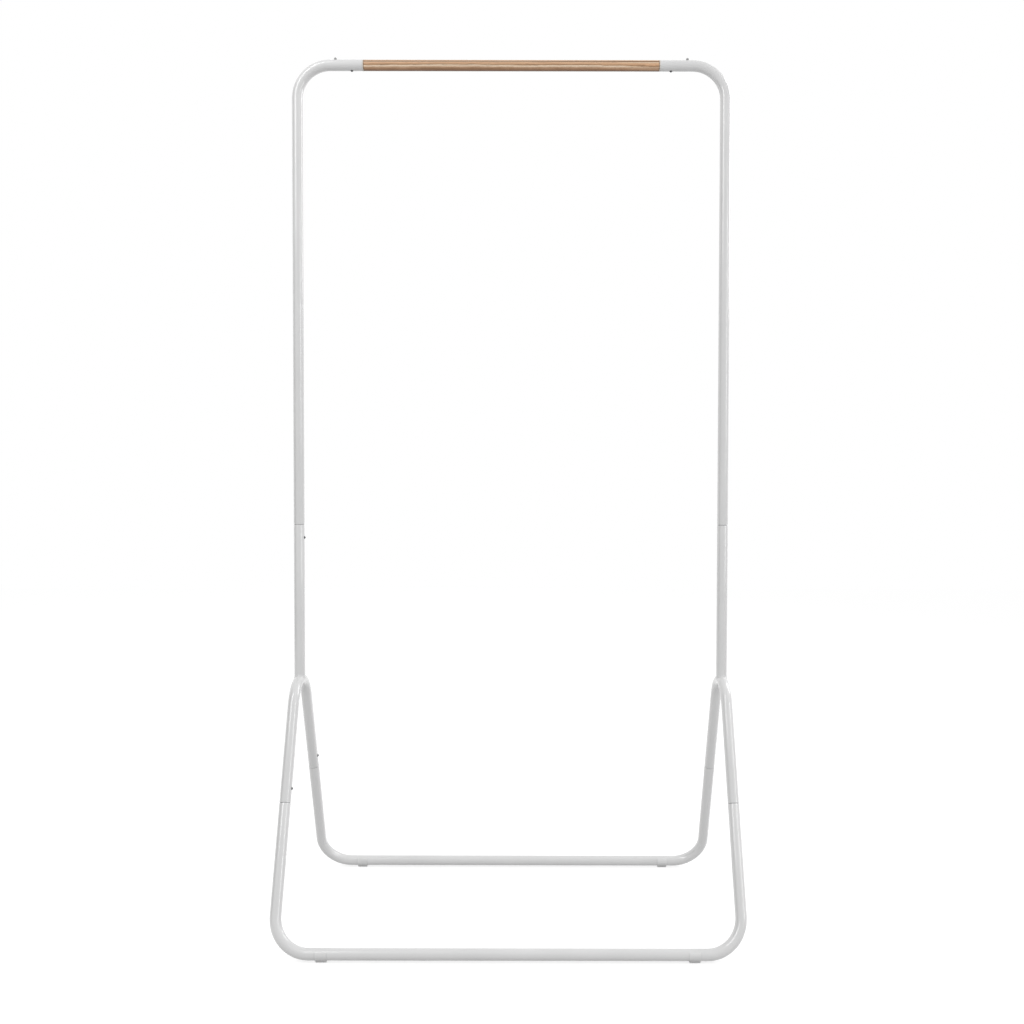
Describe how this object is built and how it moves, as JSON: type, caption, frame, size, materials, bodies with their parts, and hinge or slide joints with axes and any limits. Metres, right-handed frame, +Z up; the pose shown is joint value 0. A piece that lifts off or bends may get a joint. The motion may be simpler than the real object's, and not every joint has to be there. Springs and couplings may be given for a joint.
{
  "type": "coat rack",
  "caption": "Free-standing coat rack of bent white tube with a round wooden hanging bar, arched side frames and clip-on feet.",
  "frame": {"origin": "on the floor, in the middle of the rack: the centre of the bounding box's bottom face", "axes": "+X from the left side to the right side along the rail, +Y from front to rear, +Z up"},
  "size_m": [0.8276, 0.4606, 1.6186],
  "materials": {
    "white_coat": "smooth white powder coat, semi-gloss",
    "oak_bar": "light oak, straight grain, clear satin lacquer",
    "pale_plastic": "satin",
    "white_plastic": "satin",
    "grey_plastic": "satin",
    "dark_steel": "black oxide screw",
    "plain_steel": "bare drawn steel",
    "brass_insert": "turned brass"
  },
  "bodies": {
    "root": {"hanging_bar": "oak_bar", "front_base_frame": "white_coat", "rear_base_frame": "white_coat", "bar_ring_left": "pale_plastic", "bar_insert_left": "brass_insert", "bar_screw_left": "dark_steel", "upper_frame_left": "white_coat", "hanger_stop_left": "grey_plastic", "post_sleeve_left": "plain_steel", "post_nut_left": "plain_steel", "post_screw_left": "dark_steel", "lower_post_left": "white_coat", "post_weld_left": "white_coat", "side_hairpin_left": "white_coat", "bar_ring_right": "pale_plastic", "bar_insert_right": "brass_insert", "bar_screw_right": "dark_steel", "upper_frame_right": "white_coat", "hanger_stop_right": "grey_plastic", "post_sleeve_right": "plain_steel", "post_nut_right": "plain_steel", "post_screw_right": "dark_steel", "lower_post_right": "white_coat", "post_weld_right": "white_coat", "side_hairpin_right": "white_coat", "leg_sleeve_front_left": "plain_steel", "leg_nut_front_left": "plain_steel", "leg_screw_front_left": "dark_steel", "foot_front_left": "white_plastic", "leg_sleeve_front_right": "plain_steel", "leg_nut_front_right": "plain_steel", "leg_screw_front_right": "dark_steel", "foot_front_right": "white_plastic", "leg_sleeve_rear_left": "plain_steel", "leg_nut_rear_left": "plain_steel", "leg_screw_rear_left": "dark_steel", "foot_rear_left": "white_plastic", "leg_sleeve_rear_right": "plain_steel", "leg_nut_rear_right": "plain_steel", "leg_screw_rear_right": "dark_steel", "foot_rear_right": "white_plastic"}
  },
  "joints": []
}
